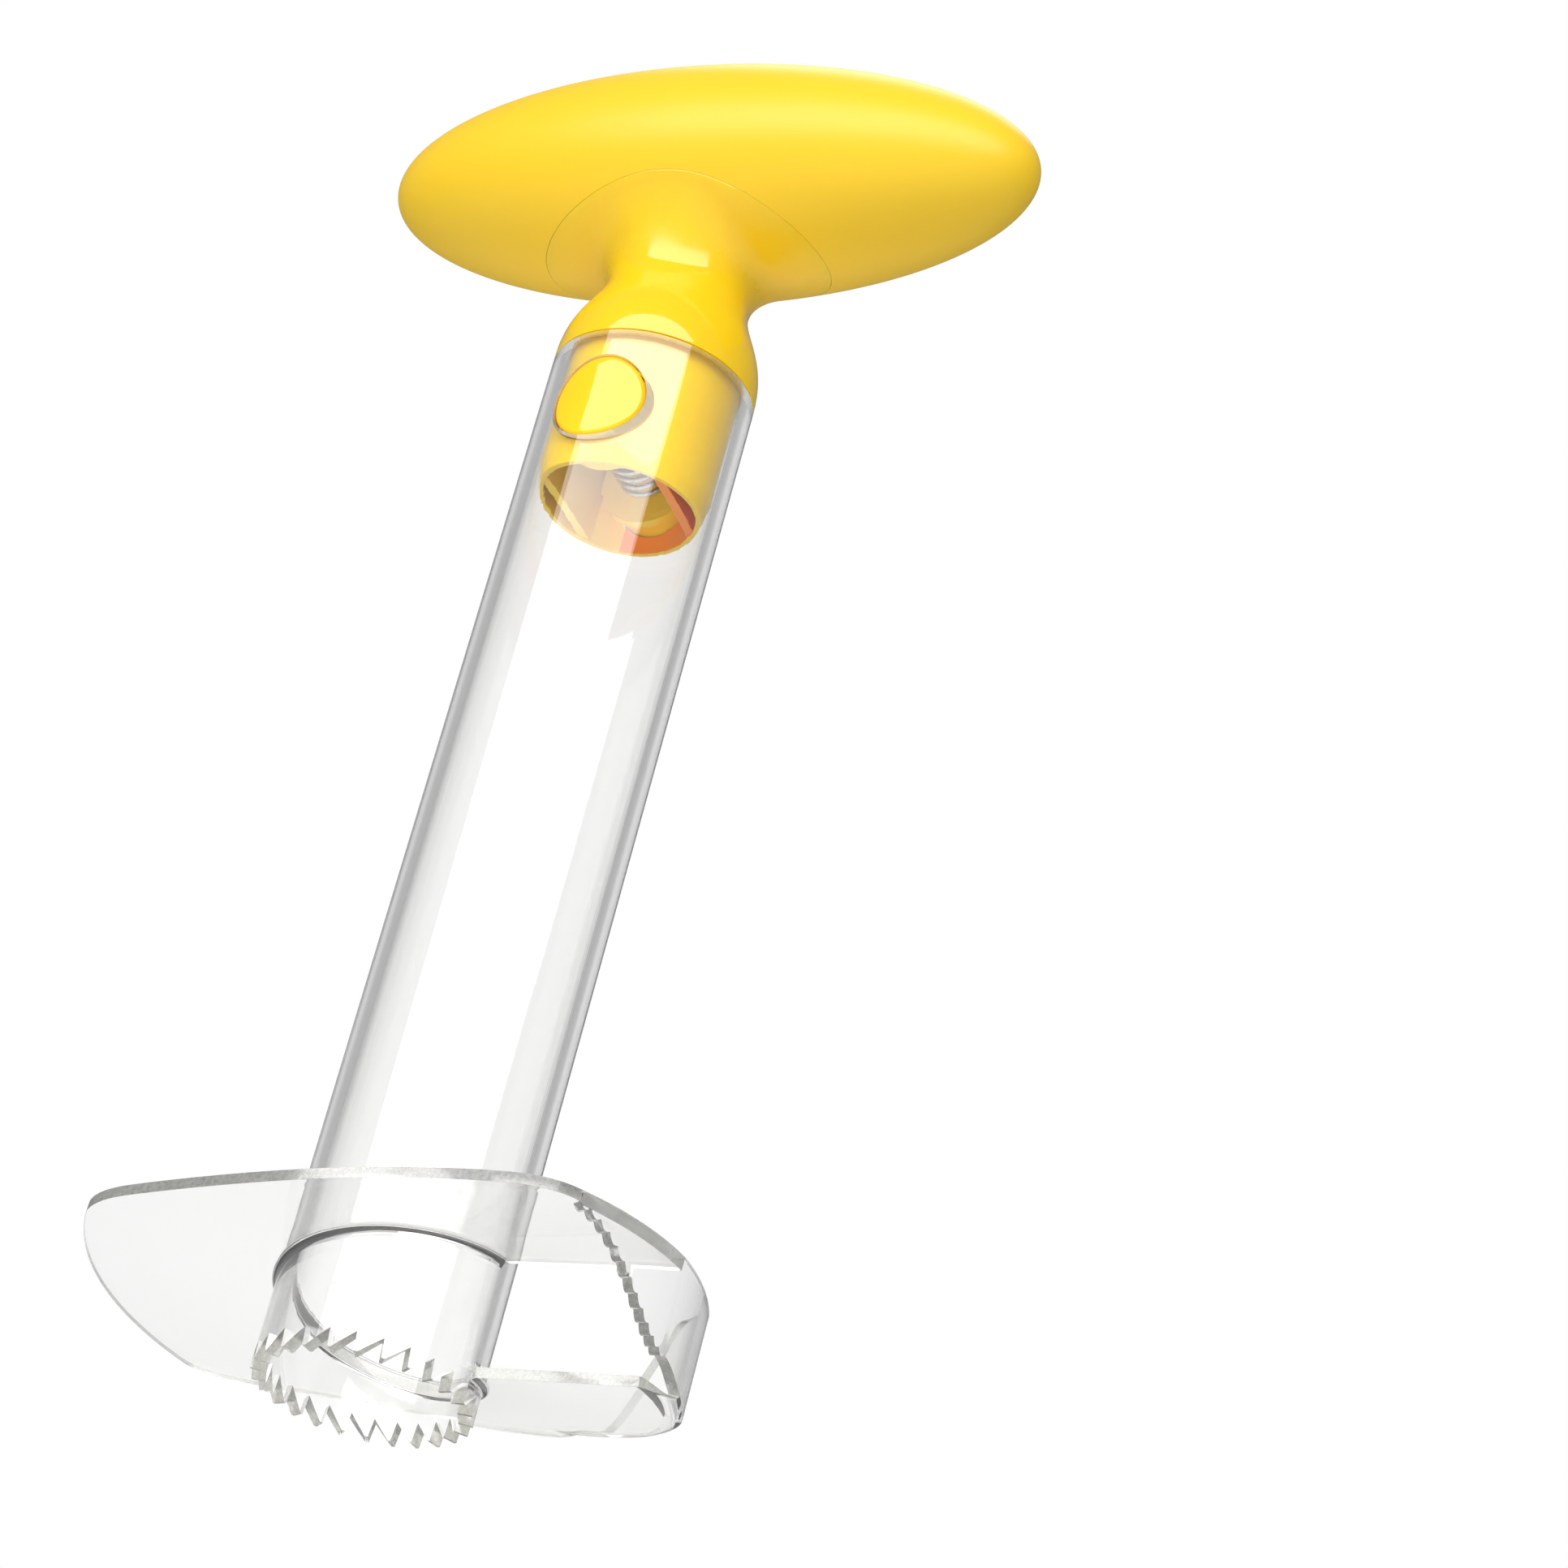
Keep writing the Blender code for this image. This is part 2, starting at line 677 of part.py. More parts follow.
def build_button_spring(mat):
    points = spring_points()
    curve = bpy.data.curves.new("button_spring", "CURVE")
    curve.dimensions = "3D"
    curve.bevel_depth = WIRE_DIAMETER / 2
    curve.bevel_resolution = 1
    curve.use_fill_caps = True
    spline = curve.splines.new("POLY")
    spline.points.add(len(points) - 1)
    for target, (x, y, z) in zip(spline.points, points):
        target.co = (x, y, z, 1)
    spline.use_smooth = True
    curve.materials.append(mat)
    spring = bpy.data.objects.new("button_spring", curve)
    spring.location = (0, 0, BUTTON_Z)
    bpy.context.scene.collection.objects.link(spring)
    print(f"button_spring: least gap between coils {1000 * least_coil_gap(points):.2f} mm")


def build():
    clear_scene()
    build_core_tube(material("tube_clear", CLEAR_PLASTIC, 0.05, transmission=0.9))
    build_spiral_blade(material("blade_clear", CLEAR_PLASTIC, 0.05, transmission=0.9))
    build_handle_stem(material("stem_yellow", GLOSS_YELLOW, 0.12))
    build_grip_shell(material("grip_yellow", GRIP_YELLOW, 0.38))
    build_button("release_button_front", -1, material("front_button_yellow", GLOSS_YELLOW, 0.12))
    build_button("release_button_rear", 1, material("rear_button_yellow", GLOSS_YELLOW, 0.12))
    build_button_spring(material("spring_steel", SPRING_STEEL, 0.3, metallic=1.0))


build()
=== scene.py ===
"""Pineapple slicer, dressed: finer forms and finishes for the pieces of the frame, in its own metres."""

import math

import bmesh
import bpy
from mathutils import Matrix, Vector


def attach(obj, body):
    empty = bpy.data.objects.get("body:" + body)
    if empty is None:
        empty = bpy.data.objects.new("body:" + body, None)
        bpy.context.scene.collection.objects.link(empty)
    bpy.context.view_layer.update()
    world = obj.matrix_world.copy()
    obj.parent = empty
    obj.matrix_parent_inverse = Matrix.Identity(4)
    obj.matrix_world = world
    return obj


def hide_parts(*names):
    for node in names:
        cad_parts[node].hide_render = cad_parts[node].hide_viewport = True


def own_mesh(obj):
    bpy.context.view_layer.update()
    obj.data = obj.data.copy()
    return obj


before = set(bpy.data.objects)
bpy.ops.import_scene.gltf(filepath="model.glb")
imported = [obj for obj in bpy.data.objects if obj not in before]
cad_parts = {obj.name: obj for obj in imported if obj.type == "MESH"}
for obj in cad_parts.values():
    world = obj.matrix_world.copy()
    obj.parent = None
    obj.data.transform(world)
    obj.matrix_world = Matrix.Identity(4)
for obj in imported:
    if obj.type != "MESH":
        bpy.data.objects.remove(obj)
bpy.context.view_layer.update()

# Sizes shared with the frame
SEAT_GAP = 0.0003
SLEEVE_CLEARANCE = 0.0004
BUTTON_CLEARANCE = 0.0003
WEB_CLEARANCE = 0.0003
OVERRUN = 0.002
WELD_DISTANCE = 0.000002

TUBE_RADIUS = 0.0165
TUBE_WALL = 0.0022
TUBE_LENGTH = 0.1783
TOOTH_COUNT = 26
TOOTH_DEPTH = 0.003
TOOTH_LAND = 0.0005
TOOTH_DROP = 0.0003
BUTTON_BELOW_RIM = 0.0126

BLADE_RADIUS = 0.0454
BLADE_PITCH = 0.0183
BLADE_THICKNESS = 0.0017
BLADE_RISE = 0.0041
NEAR_FLAT = 0.0323
FAR_FLAT = 0.0256
FLAT_BOW_RADIUS = 0.16
OUTLINE_ROUNDING = 0.004
EDGE_SWEEP_ANGLE = math.radians(13)
EDGE_SWEEP_FADE = math.radians(36)
LIP_LENGTH = 0.0047
FAR_LIP_LENGTH = 0.0021
LIP_FADE_ANGLE = math.radians(13)
WALL_START_ANGLE = math.radians(-31)
WALL_SHOULDER_ANGLE = math.radians(28)
WALL_END_ANGLE = math.radians(39)
WALL_FOOT_Z = 0.0093
SERRATION_COUNT = 12
SERRATION_DEPTH = 0.0007

SLEEVE_WALL = 0.0016
SLEEVE_LENGTH = 0.0239
LEAD_IN_HEIGHT = 0.0031
LEAD_IN_DEPTH = 0.0008
WEB_THICKNESS = 0.0015
WEB_SETBACK = 0.0004
WEB_LAP = 0.0009
BORE_RISE = 0.0015
ROOF_THICKNESS = 0.003
WAIST_RADIUS = 0.0117
BELL_HEIGHT = 0.0177
BELL_CURVE_SHARE = 1.35
NECK_WALL = 0.0032
FILLET_REACH = 0.0046
FILLET_LIMIT_SHARE = 0.78
SADDLE_HALF_LENGTH = 0.0246
SADDLE_MARGIN = 0.0003
PLUG_RISE = 0.001

GRIP_HALF_LENGTH = 0.0572
GRIP_RADIUS = 0.0196
GRIP_WALL = 0.0025
GRIP_ABOVE_RIM = 0.0419

BUTTON_RADIUS = 0.0075
BUTTON_EDGE = 0.0006
BUTTON_FLANGE_RADIUS = 0.0085
BUTTON_FLANGE_THICKNESS = 0.0015
BUTTON_BOSS_RADIUS = 0.003
BOSS_STOP_GAP = 0.0009
RELEASE_MARGIN = 0.0008

WIRE_DIAMETER = 0.0009
SPRING_RADIUS = 0.0043
SPRING_TURNS = 6

# Sizes of this scene's own
HUB_BITE = 0.0008  # how far the blade's root runs into the tube's wall
ROOT_FILLET = 0.0009
ROOT_SHARES = (0.0, 0.1, 0.25, 0.45, 0.7, 1.0)  # points across the root's fillet
EDGE_ROUNDING = 0.00022
HOLE_CLEARANCE = 0.0003  # button inside the tube's hole, on the radius
SEAM_ROUNDING = 0.00025
SEAM_GAP = 0.00005  # between the saddle and the grip

# Facets
LEAD_STEPS = 64
BLADE_STEPS = 130
SHEET_COLUMNS = 4
LIP_COLUMNS = 10
WALL_ROWS = 4
CORNER_STEPS = 8
LOBE_STEPS = 8
TUBE_COLUMNS_PER_TOOTH = 8
STEM_COLUMNS = 240
BELL_STEPS = 28
FILLET_STEPS = 24
SADDLE_STEPS = 8
BUTTON_COLUMNS = 96
FACE_SHARES = (0.05, 0.2, 0.4, 0.6, 0.8)  # rings on a button's face
EDGE_STEPS = 5
GRIP_AROUND = 144
GRIP_ALONG = 96
CUTTER_SIDES = 128
WIRE_SIDES = 12
POINTS_PER_TURN = 40

# Choice of material by face
PLAIN, CUT, HOLE = 0, 1, 2  # the clear moulding: wide faces, teeth and edges, button holes
OUTSIDE, BORE = 0, 1  # the stem: its own yellow outside, and bore faces with a painted orange glow and shade
ACROSS_LIMIT = 0.7  # a face of the tube is cut where less of its normal than this points outwards
FLAT_LIMIT = 0.99  # a web's face is flat where more of its normal than this lies along X
PAINTED_GLOW_START = -0.0045  # the bore's painted orange glow and shade starts here and runs towards +X
LARGE_FACE_WEIGHT = 80  # how far the large faces lead in the shading

# Finishes and painted light. Colours are linear RGBA, and each drifts between the two of its pair.
YELLOW = ((0.94, 0.60, 0.010, 1), (0.96, 0.63, 0.014, 1))
# Painted glow and shade: a deep orange on the bore's inner faces, standing in for light through the yellow
# plastic and the shade inside.
BORE_PAINTED_GLOW = ((0.98, 0.25, 0.006, 1), (0.99, 0.28, 0.008, 1))
SATIN_YELLOW = ((0.94, 0.60, 0.014, 1), (0.96, 0.63, 0.019, 1))
STEEL_TONES = ((0.50, 0.50, 0.50, 1), (0.62, 0.62, 0.61, 1))
CLEAR_AND_EDGE_SHADE = ((0.99, 0.99, 0.985, 1), (0.6, 0.6, 0.585, 1))  # seen face on, and a painted grey shade seen edge on for the dark surroundings at the edges
EDGE_TONES = ((0.66, 0.66, 0.63, 1), (0.80, 0.80, 0.77, 1))
# Painted bounce light: a warm tan on the clear hole walls, for light bounced from the yellow buttons.
HOLE_PAINTED_BOUNCE = ((0.95, 0.76, 0.42, 1), (0.98, 0.83, 0.50, 1))
CLEARNESS = (0.998, 0.96)  # of the clear moulding where it is unworn and where it is scuffed
EDGE_CLEARNESS = (0.55, 0.75)
HOLE_CLEARNESS = (0.15, 0.25)
CLEAR_SHARE = (0.97, 0.97, 0.96, 1)  # of the light on a surface that passes it
EDGE_SHARE = (0.85, 0.85, 0.84, 1)
HOLE_SHARE = (0.95, 0.93, 0.88, 1)
EDGE_ON_POWER = 4.0
SCUFF_HEIGHT = 0.05  # above the tooth tips, where the scuffs have faded out
CLEAR_IOR = 1.54
GLOSS_IOR = 1.55
SATIN_IOR = 1.48
NOISE_SPAN = (0.3, 0.7)  # holds nearly all of a noise's values

# Floor and light
FLOOR_SIZE = 6.0
FLOOR_TONE = (0.67, 0.67, 0.67, 1)
FLOOR_FADE = (0.25, 1.3)  # from the origin, where the floor starts to fade and where it is gone
STUDIO_LIGHT = 0.38  # strength of the surroundings on the object
GLOSS_DIMMING = 0.16  # gloss shows the surroundings darker by this
BACKDROP_EDGE = math.cos(math.radians(34))  # from straight ahead of the photograph's camera
BACKDROP_CORE = math.cos(math.radians(14))
BACKDROP_DIM = 0.5  # the backdrop outside its edge, as glass shows it
LEVEL_RISE = (0.4, 0.15)  # of a direction that glass shows as the white backdrop: from not to fully
LIT_POINT = (0, 0, 0.13)

# Camera, at the angle of the photograph
VIEW_RIGHT = (0.914282, 0.339645, 0.220747)
VIEW_DOWN = (0.003692, 0.537940, -0.842975)
VIEW_FORWARD = (-0.405061, 0.771532, 0.490576)
VIEW_PLACE = (0.35516, -0.59857, -0.27642)
SENSOR_WIDTH = 36  # mm
FOCAL_LENGTH = 119.1  # mm
CLIP_START = 0.01

# Places that follow from the sizes
TUBE_INNER_RADIUS = TUBE_RADIUS - TUBE_WALL
FLANGE_Z = TUBE_LENGTH + SEAT_GAP
SLEEVE_RADIUS = TUBE_INNER_RADIUS - SLEEVE_CLEARANCE
BORE_RADIUS = SLEEVE_RADIUS - SLEEVE_WALL
MOUTH_Z = FLANGE_Z - SLEEVE_LENGTH
ROOF_Z = FLANGE_Z + BORE_RISE
WAIST_Z = FLANGE_Z + BELL_HEIGHT
GRIP_Z = TUBE_LENGTH + GRIP_ABOVE_RIM
BUTTON_Z = TUBE_LENGTH - BUTTON_BELOW_RIM
SADDLE_HALF_WIDTH = TUBE_RADIUS + SADDLE_MARGIN
BUTTON_TRAVEL = TUBE_WALL + RELEASE_MARGIN
FLANGE_SEAT = math.sqrt(BORE_RADIUS**2 - BUTTON_FLANGE_RADIUS**2) - SEAT_GAP
FLANGE_BACK = FLANGE_SEAT - BUTTON_FLANGE_THICKNESS
BOSS_END = BUTTON_TRAVEL + BOSS_STOP_GAP


# Mesh tools


def add_object(name, bm):
    bmesh.ops.recalc_face_normals(bm, faces=bm.faces)
    mesh = bpy.data.meshes.new(name)
    bm.to_mesh(mesh)
    bm.free()
    obj = bpy.data.objects.new(name, mesh)
    bpy.context.scene.collection.objects.link(obj)
    return obj


def combine(obj, tool, operation):
    modifier = obj.modifiers.new(tool.name, "BOOLEAN")
    modifier.operation = operation
    modifier.solver = "EXACT"
    modifier.object = tool
    settle(obj)
    bpy.data.objects.remove(tool, do_unlink=True)


def round_edges(obj, width, angle=40, segments=2):
    """Round the edges that are sharper than an angle."""
    modifier = obj.modifiers.new("rounding", "BEVEL")
    modifier.width = width
    modifier.segments = segments
    modifier.limit_method = "ANGLE"
    modifier.angle_limit = math.radians(angle)
    modifier.use_clamp_overlap = True
    settle(obj)


def settle(obj):
    """Apply the object's modifiers."""
    depsgraph = bpy.context.evaluated_depsgraph_get()
    mesh = bpy.data.meshes.new_from_object(obj.evaluated_get(depsgraph))
    old = obj.data
    obj.modifiers.clear()
    obj.data = mesh
    bpy.data.meshes.remove(old)


def smooth(obj, angle=50):
    """Smooth shading in which the large faces lead, so that flats stay flat beside a rounded edge."""
    obj.data.shade_smooth()
    obj.data.set_sharp_from_angle(angle=math.radians(angle))
    modifier = obj.modifiers.new("normals", "WEIGHTED_NORMAL")
    modifier.keep_sharp = True
    modifier.weight = LARGE_FACE_WEIGHT
    settle(obj)


def loft(rings, ends="caps"):
    """Skin closed rings of equal length. The ends are capped, or the last ring joins the first."""
    bm = bmesh.new()
    loops = [[bm.verts.new(point) for point in ring] for ring in rings]
    pairs = list(zip(loops, loops[1:]))
    if ends == "joined":
        pairs.append((loops[-1], loops[0]))
    for first, second in pairs:
        for i in range(len(first)):
            j = (i + 1) % len(first)
            bm.faces.new((first[i], first[j], second[j], second[i]))
    if ends == "caps":
        bm.faces.new(loops[0])
        bm.faces.new(list(reversed(loops[-1])))
    return bm


def weld(faces, edges):
    """Join patches, each a grid of points, where they meet. Those in edges get the cut material."""
    bm = bmesh.new()
    for index, grids in ((PLAIN, faces), (CUT, edges)):
        for grid in grids:
            rows = [[bm.verts.new(point) for point in row] for row in grid]
            for first, second in zip(rows, rows[1:]):
                for i in range(len(first) - 1):
                    face = bm.faces.new((first[i], first[i + 1], second[i + 1], second[i]))
                    face.material_index = index
    bmesh.ops.remove_doubles(bm, verts=bm.verts, dist=WELD_DISTANCE)
    return bm


def ring(radius, z, angles):
    return [(radius * math.cos(a), radius * math.sin(a), z) for a in angles]


def even_angles(count):
    return [2 * math.pi * i / count for i in range(count)]


def smooth_step(value):
    t = min(max(value, 0.0), 1.0)
    return t * t * (3 - 2 * t)


def smooth_min(a, b, rounding):
    """The lesser of two lengths, rounded off where they are about equal."""
    overlap = max(rounding - abs(a - b), 0.0)
    return min(a, b) - overlap * overlap / (4 * rounding)


def cross_cutter(name, radius, half_length):
    """A round cutter along Y at the height of the buttons."""
    bm = bmesh.new()
    placed = Matrix.Translation((0, 0, BUTTON_Z)) @ Matrix.Rotation(math.pi / 2, 4, "X")
    bmesh.ops.create_cone(
        bm,
        cap_ends=True,
        segments=CUTTER_SIDES,
        radius1=radius,
        radius2=radius,
        depth=2 * half_length,
        matrix=placed,
    )
    return add_object(name, bm)


# Clear tube


def tooth_columns():
    """Angle and height of the tube's lower edge: a land, a long ramp up, then a steep drop."""
    pitch = 2 * math.pi / TOOTH_COUNT
    land = TOOTH_LAND / TUBE_RADIUS
    drop = TOOTH_DROP / TUBE_RADIUS
    ramps = TUBE_COLUMNS_PER_TOOTH - 2
    columns = []
    for tooth in range(TOOTH_COUNT):
        start = tooth * pitch
        columns.append((start, 0.0))
        for step in range(ramps + 1):
            share = step / ramps
            columns.append((start + land + share * (pitch - land - drop), share * TOOTH_DEPTH))
    return columns


def build_tube():
    columns = tooth_columns()
    angles = [angle for angle, height in columns]

    def toothed(radius):
        return [(radius * math.cos(a), radius * math.sin(a), h) for a, h in columns]

    bm = loft(
        [
            toothed(TUBE_RADIUS),
            ring(TUBE_RADIUS, TUBE_LENGTH, angles),
            ring(TUBE_INNER_RADIUS, TUBE_LENGTH, angles),
            toothed(TUBE_INNER_RADIUS),
        ],
        ends="joined",
    )
    tube = add_object("clear_cutter", bm)
    hole_radius = BUTTON_RADIUS + HOLE_CLEARANCE
    combine(tube, cross_cutter("tube_holes", hole_radius, TUBE_RADIUS + OVERRUN), "DIFFERENCE")
    round_edges(tube, EDGE_ROUNDING, angle=30)
    for face in tube.data.polygons:
        radial = Vector((face.center.x, face.center.y, 0)).normalized()
        height = face.center.z
        across = abs(face.normal.dot(radial)) < ACROSS_LIMIT
        if across and height < TOOTH_DEPTH:
            face.material_index = CUT
        elif across and TUBE_LENGTH / 2 < height < TUBE_LENGTH - TUBE_WALL:
            face.material_index = HOLE
    return tube


# Spiral blade


def helix_z(angle):
    """Underside of the blade."""
    return BLADE_RISE + BLADE_PITCH * angle / (2 * math.pi)


def bowed_side(angle, flat, side):
    """Distance from the axis to a bowed flat side of the outline, in the direction of the angle."""
    centre = side * (flat - FLAT_BOW_RADIUS)
    along = centre * math.sin(angle)
    return along + math.sqrt(along * along - centre * centre + FLAT_BOW_RADIUS**2)


def outline_radius(angle):
    """The blade's outline: a circle with two bowed flats."""
    near = bowed_side(angle, NEAR_FLAT, -1)
    far = bowed_side(angle, FAR_FLAT, 1)
    radius = smooth_min(BLADE_RADIUS, near, OUTLINE_ROUNDING)
    return smooth_min(radius, far, OUTLINE_ROUNDING)


def swept_angle(station, lip_share):
    """Stations near the cutting edge trail back across the lip."""
    fade = 1 - smooth_step(station / EDGE_SWEEP_FADE)
    return station + fade * EDGE_SWEEP_ANGLE * smooth_step(lip_share)


def lip_curl(angle):
    """How far the rim curls up: a quarter turn under the scoop wall, fading to none behind it."""
    fade = (angle - WALL_END_ANGLE) / LIP_FADE_ANGLE
    return math.pi / 2 * (1 - smooth_step(fade))


def lip_length(angle):
    """Width of the strip that curls, which shrinks from the cutting edge to the far corner."""
    shrunk = smooth_step(angle / WALL_SHOULDER_ANGLE)
    return LIP_LENGTH + shrunk * (FAR_LIP_LENGTH - LIP_LENGTH)


def lip_shares(curl, length):
    """Columns of the lip: even where it curls, with one at the wall's inner face where it is flat."""
    inner_face_share = 1 - BLADE_THICKNESS / length
    flatness = 1 - curl / (math.pi / 2)
    shares = []
    for column in range(1, LIP_COLUMNS):
        even = column / LIP_COLUMNS
        flat = inner_face_share * column / (LIP_COLUMNS - 1)
        shares.append(even + flatness * (flat - even))
    return shares + [1.0]


def root_columns(station):
    """The blade's root, which thickens into the tube's wall."""
    columns = [(TUBE_RADIUS - HUB_BITE, 0.0, 0.0, station, ROOT_FILLET)]
    for share in ROOT_SHARES:
        away = 1 - share
        flare = ROOT_FILLET * (1 - math.sqrt(1 - away * away))
        columns.append((TUBE_RADIUS + share * ROOT_FILLET, 0.0, 0.0, station, flare))
    return columns


def sheet_rows(station):
    """Points across the blade from hub to rim, on its top and on its underside."""
    rim_angle = swept_angle(station, 1)
    curl = lip_curl(rim_angle)
    length = lip_length(rim_angle)
    half = BLADE_THICKNESS / 2
    bend = length / curl if curl > 0 else 0.0
    reach = (bend + half) * math.sin(curl) if curl > 0 else length
    lip_start = outline_radius(rim_angle) - reach
    profile = root_columns(station)
    root = profile[-1][0]
    for column in range(1, SHEET_COLUMNS + 1):
        radius = root + column / SHEET_COLUMNS * (lip_start - root)
        profile.append((radius, 0.0, 0.0, station, 0.0))
    for share in lip_shares(curl, length):
        angle = swept_angle(station, share)
        turned = share * curl
        if curl > 0:
            across = bend * math.sin(turned)
            rise = bend * (1 - math.cos(turned))
            profile.append((lip_start + across, rise, turned, angle, 0.0))
        else:
            profile.append((lip_start + share * length, 0.0, 0.0, angle, 0.0))
    upper = []
    lower = []
    for radius, rise, turned, angle, flare in profile:
        for row, offset in ((upper, half + flare), (lower, -half - flare)):
            r = radius - offset * math.sin(turned)
            z = helix_z(angle) + half + rise + offset * math.cos(turned)
            row.append((r * math.cos(angle), r * math.sin(angle), z))
    return upper, lower


def foot_z(angle):
    """The scoop wall's free lower edge: serrated down a slant, then along to the curled corner."""
    corner = EDGE_SWEEP_ANGLE
    corner_z = helix_z(corner) + BLADE_THICKNESS / 2 + lip_length(corner) / (math.pi / 2)
    if angle > 0:
        return WALL_FOOT_Z + (corner_z - WALL_FOOT_Z) * smooth_step(angle / corner)
    share = 1 - angle / WALL_START_ANGLE
    start_z = helix_z(WALL_START_ANGLE + 2 * math.pi)
    lobe = SERRATION_DEPTH * abs(math.sin(math.pi * SERRATION_COUNT * share))
    return start_z + (WALL_FOOT_Z - start_z) * smooth_step(share) - lobe


def crest_height(angle, foot):
    """Height of the scoop wall behind the tail: level along its top, then down to nothing."""
    level = helix_z(2 * math.pi) + BLADE_THICKNESS
    drop = (angle - WALL_SHOULDER_ANGLE) / (WALL_END_ANGLE - WALL_SHOULDER_ANGLE)
    return (level - foot) * (1 - smooth_step(drop))


def rim_point(angle, inset, z):
    radius = outline_radius(angle) - inset
    return (radius * math.cos(angle), radius * math.sin(angle), z)


def wall_line(foot, height, ledge):
    """Points down the wall to its foot: its crest, the level of the tail's underside, then even steps."""
    x, y, z = foot
    steps = [ledge * (1 - step / WALL_ROWS) for step in range(WALL_ROWS + 1)]
    return [(x, y, z + rise) for rise in [height] + steps]


def wall_lines(slant, upper, lower):
    """The wall's outer and inner lines at each station, and how many of them have a free foot."""
    outer = []
    inner = []
    for angle in slant:
        foot = foot_z(angle)
        ledge = helix_z(2 * math.pi + angle) - foot
        for lines, inset in ((outer, 0.0), (inner, BLADE_THICKNESS)):
            lines.append(wall_line(rim_point(angle, inset, foot), ledge + BLADE_THICKNESS, ledge))
    ledge_share = ledge / (ledge + BLADE_THICKNESS)
    for step in range(1, CORNER_STEPS):
        angle = EDGE_SWEEP_ANGLE * step / CORNER_STEPS
        foot = foot_z(angle)
        height = crest_height(angle, foot)
        for lines, inset in ((outer, 0.0), (inner, BLADE_THICKNESS)):
            lines.append(wall_line(rim_point(angle, inset, foot), height, height * ledge_share))
    free = len(outer) + 1
    for up, low in zip(upper, lower):
        angle = math.atan2(low[-1][1], low[-1][0])
        height = crest_height(angle, low[-1][2])
        for lines, foot in ((outer, low[-1]), (inner, up[-1])):
            lines.append(wall_line(foot, height, height * ledge_share))
        if angle >= WALL_END_ANGLE:
            break
    return outer, inner, free


def build_blade():
    """One turn of the helix, with the scoop wall grown from its rim, as one skin of joined patches."""
    turn = 2 * math.pi
    slant_steps = LOBE_STEPS * SERRATION_COUNT
    slant = [WALL_START_ANGLE * (1 - step / slant_steps) for step in range(slant_steps + 1)]
    lead = 2 * EDGE_SWEEP_FADE
    plain = [lead * step / LEAD_STEPS for step in range(LEAD_STEPS)]
    rest = turn + WALL_START_ANGLE - lead
    plain += [lead + rest * step / BLADE_STEPS for step in range(BLADE_STEPS)]
    rows = [sheet_rows(station) for station in plain + [turn + angle for angle in slant]]
    upper = [row[0] for row in rows]
    lower = [row[1] for row in rows]
    outer, inner, free = wall_lines(slant, upper, lower)
    tail = slant_steps
    wall_row = len(plain)
    wall_last = len(outer) - free
    inner_face = len(upper[0]) - 1

    faces = [
        upper,
        lower[: wall_row + 1],
        [row[:inner_face] for row in lower[wall_row:]],
        [(up[0], low[0]) for up, low in rows],
        outer,
        [line[1:] for line in inner[: tail + 1]],
        inner[tail:],
    ]
    edges = [
        [upper[0], lower[0]],
        [upper[-1][:inner_face], lower[-1][:inner_face]],
        [(up[-1], low[-1]) for up, low in rows[wall_last : wall_row + 1]],
        [(a[0], b[0]) for a, b in zip(inner[tail:], outer[tail:])],
        [(a[-1], b[-1]) for a, b in zip(inner[:free], outer[:free])],
    ]
    blade = add_object("blade_form", weld(faces, edges))
    round_edges(blade, EDGE_ROUNDING, angle=48)
    return blade


def build_cutter():
    """Tube and blade as one clear moulding."""
    tube = build_tube()
    blade = build_blade()
    cut = cut_plastic("clear_edges", EDGE_TONES, EDGE_CLEARNESS, EDGE_SHARE)
    hole = cut_plastic("hole_walls_painted_bounce", HOLE_PAINTED_BOUNCE, HOLE_CLEARNESS, HOLE_SHARE)
    for material in (clear_plastic(), cut, hole):
        tube.data.materials.append(material)
        blade.data.materials.append(material)
    combine(tube, blade, "UNION")
    smooth(tube)
    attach(tube, "cutter")
    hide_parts("core_tube", "spiral_blade")


# Handle stem


def grip_height(x, y, side):
    """Height of the grip's form over a point in plan, above its axis or below it."""
    inside = 1 - (x / GRIP_HALF_LENGTH) ** 2 - (y / GRIP_RADIUS) ** 2
    return GRIP_Z + side * GRIP_RADIUS * math.sqrt(max(inside, 0.0))


def saddle_radius(angle, grow=0.0):
    """The seam in plan is an ellipse: its distance from the axis."""
    a = SADDLE_HALF_LENGTH + grow
    b = SADDLE_HALF_WIDTH + grow
    return a * b / math.hypot(b * math.cos(angle), a * math.sin(angle))


def plug_top_z():
    return grip_height(0, SADDLE_HALF_WIDTH, -1) + PLUG_RISE


def neck_fillet(angle):
    """Hollow curve from the waist up to the underside of the grip's form."""
    seam = saddle_radius(angle)
    reach = min(FILLET_REACH, FILLET_LIMIT_SHARE * (seam - WAIST_RADIUS))
    end_r = WAIST_RADIUS + reach
    cosine = math.cos(angle)
    sine = math.sin(angle)
    end_z = grip_height(end_r * cosine, end_r * sine, -1)
    span = reach / 2
    slope = (grip_height((end_r + span) * cosine, (end_r + span) * sine, -1) - end_z) / span
    knee_z = max(end_z - slope * reach, WAIST_Z)
    points = []
    for step in range(FILLET_STEPS + 1):
        t = step / FILLET_STEPS
        u = 1 - t
        radius = (u * u + 2 * u * t) * WAIST_RADIUS + t * t * end_r
        z = u * u * WAIST_Z + 2 * u * t * knee_z + t * t * end_z
        points.append((radius, z))
    return points


